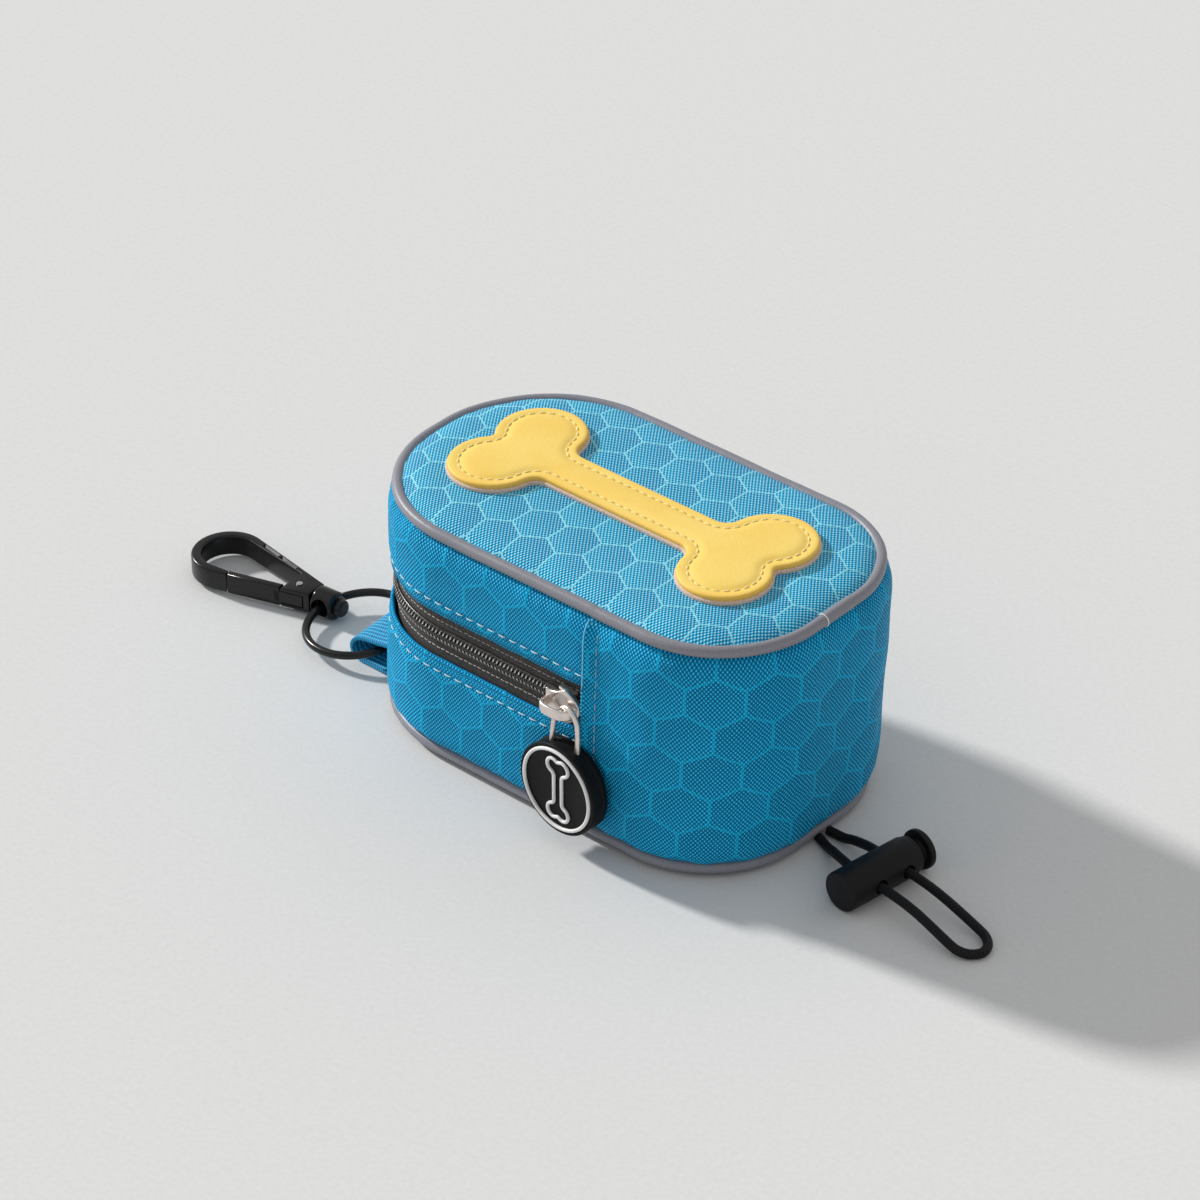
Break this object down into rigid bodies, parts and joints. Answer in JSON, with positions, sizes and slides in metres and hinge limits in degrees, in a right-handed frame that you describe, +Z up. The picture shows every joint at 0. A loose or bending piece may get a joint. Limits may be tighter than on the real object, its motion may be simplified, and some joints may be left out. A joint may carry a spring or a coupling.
{
  "type": "dog poop bag dispenser",
  "caption": "Zipped fabric pouch for a roll of dog waste bags, with bone patch, disc zip pull, split ring and swivel snap hook at one end and an elastic loop with a cord lock at the other.",
  "frame": {"origin": "centre of the pouch's flat base, on the surface that it stands on", "axes": "+X along the pouch to the elastic loop's end, -Y out through the zipped front, +Z up"},
  "size_m": [0.2145, 0.0707, 0.0598],
  "materials": {
    "blue_fabric": "matte",
    "dark_tape": "matte",
    "grey_piping": "satin",
    "yellow_leather": "satin",
    "beige_felt": "matte",
    "nylon_coil": "satin",
    "nickel": "satin",
    "black_enamel": "gloss",
    "black_rubber": "satin",
    "white_rubber": "satin",
    "black_plastic": "matte",
    "black_cord": "matte",
    "spring_steel": "satin",
    "bag_film": "satin",
    "paper_core": "matte"
  },
  "bodies": {
    "pouch": {"top_panel": "blue_fabric", "bottom_panel": "blue_fabric", "top_piping": "grey_piping", "bottom_piping": "grey_piping", "gusset_wall": "blue_fabric", "upper_zip_wall": "blue_fabric", "lower_zip_wall": "blue_fabric", "upper_zip_tape": "dark_tape", "lower_zip_tape": "dark_tape", "upper_zip_teeth": "nylon_coil", "lower_zip_teeth": "nylon_coil", "zip_stops": "nickel", "outlet_grommet": "black_rubber", "patch_felt": "beige_felt", "bone_patch": "yellow_leather", "webbing_tab": "blue_fabric", "elastic_cord": "black_cord"},
    "slider": {"zip_slider": "nickel"},
    "pull": {"pull_wire": "nickel", "pull_tag": "black_rubber", "tag_emblem": "white_rubber"},
    "ring": {"link_ring": "black_enamel"},
    "eye": {"swivel_eye": "black_enamel"},
    "hook": {"swivel_post": "black_enamel", "hook_body": "black_enamel", "gate_pin": "spring_steel", "gate_spring": "spring_steel"},
    "gate": {"hook_gate": "black_enamel"},
    "barrel": {"lock_barrel": "black_plastic", "lock_spring": "spring_steel"},
    "plunger": {"lock_plunger": "black_plastic"},
    "roll": {"bag_roll": "bag_film", "roll_core": "paper_core"}
  },
  "joints": [
    {"name": "slider_slide", "type": "slide", "parent": "pouch", "child": "slider", "axis": [-1, 0, 0], "range_m": [0, 0.028], "deforming": ["upper_zip_teeth", "lower_zip_teeth"]},
    {"name": "pull_swing", "type": "hinge", "parent": "slider", "child": "pull", "pos_m": [0.0132, -0.0347, 0.0316], "axis": [-1, 0, 0], "range_deg": [0, 120]},
    {"name": "ring_swing", "type": "hinge", "parent": "pouch", "child": "ring", "pos_m": [-0.0588, -0.0088, 0.005], "axis": [0, 1, 0], "range_deg": [-25, 38]},
    {"name": "eye_fold", "type": "hinge", "parent": "ring", "child": "eye", "pos_m": [-0.07921, -0.00806, 0.0033], "axis": [0.0958, -0.9954, 0], "range_deg": [-50, 50]},
    {"name": "hook_swivel", "type": "hinge", "parent": "eye", "child": "hook", "pos_m": [-0.07943, -0.00808, 0.0033], "axis": [-0.9954, -0.0958, 0], "continuous": true},
    {"name": "gate_open", "type": "hinge", "parent": "hook", "child": "gate", "pos_m": [-0.08633, -0.00944, 0.0033], "axis": [0, 0, -1], "range_deg": [0, 27], "stiffness_Nm_per_rad": 0.02, "deforming": ["gate_spring"]},
    {"name": "barrel_slide", "type": "slide", "parent": "pouch", "child": "barrel", "axis": [0.9903, -0.1392, 0], "range_m": [0, 0.009]},
    {"name": "plunger_press", "type": "slide", "parent": "barrel", "child": "plunger", "axis": [-0.1392, -0.9903, 0], "range_m": [0, 0.0015], "stiffness_N_per_m": 600, "deforming": ["lock_spring"]},
    {"name": "roll_spin", "type": "hinge", "parent": "pouch", "child": "roll", "pos_m": [0, 0, 0.01925], "axis": [1, 0, 0], "continuous": true}
  ]
}
